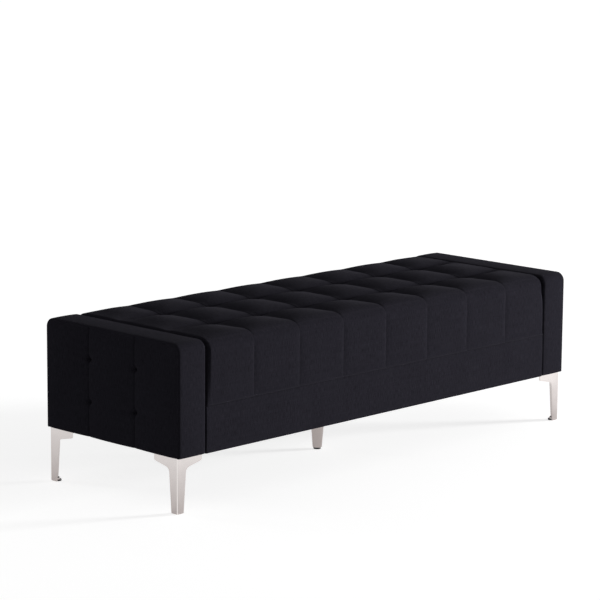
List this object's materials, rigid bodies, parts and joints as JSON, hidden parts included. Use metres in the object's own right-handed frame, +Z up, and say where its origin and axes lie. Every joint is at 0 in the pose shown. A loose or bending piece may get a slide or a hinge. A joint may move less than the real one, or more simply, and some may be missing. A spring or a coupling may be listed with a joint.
{
  "type": "upholstered luggage bench",
  "caption": "Long upholstered bench with a biscuit-tufted seat between two slab arms, on tapered angle-section metal legs and a round centre leg, for resting luggage or sitting.",
  "frame": {"origin": "on the floor, under the middle of the bench", "axes": "+X along the bench towards its right end as seen from the front, -Y towards the front, +Z up"},
  "size_m": [1.6, 0.53, 0.4663],
  "materials": {
    "charcoal_fabric": "woven, matt",
    "plywood": "bare plywood",
    "seat_foam": "open-cell foam",
    "dust_cloth": "non-woven cloth",
    "satin_metal": "satin",
    "zinc_steel": "zinc plated",
    "black_plastic": "matt"
  },
  "bodies": {
    "root": {"left_arm_cover": "charcoal_fabric", "left_arm_outer_panel": "plywood", "left_arm_inner_panel": "plywood", "left_arm_front_post": "plywood", "left_arm_back_post": "plywood", "left_arm_top_rail": "plywood", "left_arm_bottom_board": "plywood", "left_arm_front_tie": "plywood", "left_arm_back_tie": "plywood", "left_arm_front_bolt": "zinc_steel", "left_arm_back_bolt": "zinc_steel", "right_arm_cover": "charcoal_fabric", "right_arm_outer_panel": "plywood", "right_arm_inner_panel": "plywood", "right_arm_front_post": "plywood", "right_arm_back_post": "plywood", "right_arm_top_rail": "plywood", "right_arm_bottom_board": "plywood", "right_arm_front_tie": "plywood", "right_arm_back_tie": "plywood", "right_arm_front_bolt": "zinc_steel", "right_arm_back_bolt": "zinc_steel", "seat_cover": "charcoal_fabric", "base_front_band": "charcoal_fabric", "base_back_band": "charcoal_fabric", "seat_foam": "seat_foam", "seat_deck": "plywood", "seat_front_tie": "plywood", "seat_back_tie": "plywood", "base_left_rail": "plywood", "base_right_rail": "plywood", "base_front_rail": "plywood", "base_back_rail": "plywood", "base_left_stretcher": "plywood", "base_centre_stretcher": "plywood", "base_right_stretcher": "plywood", "dust_cover": "dust_cloth", "front_left_leg": "satin_metal", "front_left_glide": "black_plastic", "front_left_leg_screw_1": "zinc_steel", "front_left_leg_screw_2": "zinc_steel", "front_left_leg_screw_3": "zinc_steel", "front_right_leg": "satin_metal", "front_right_glide": "black_plastic", "front_right_leg_screw_1": "zinc_steel", "front_right_leg_screw_2": "zinc_steel", "front_right_leg_screw_3": "zinc_steel", "back_left_leg": "satin_metal", "back_left_glide": "black_plastic", "back_left_leg_screw_1": "zinc_steel", "back_left_leg_screw_2": "zinc_steel", "back_left_leg_screw_3": "zinc_steel", "back_right_leg": "satin_metal", "back_right_glide": "black_plastic", "back_right_leg_screw_1": "zinc_steel", "back_right_leg_screw_2": "zinc_steel", "back_right_leg_screw_3": "zinc_steel", "centre_leg": "satin_metal", "centre_glide": "black_plastic", "centre_leg_plate": "zinc_steel"}
  },
  "joints": []
}
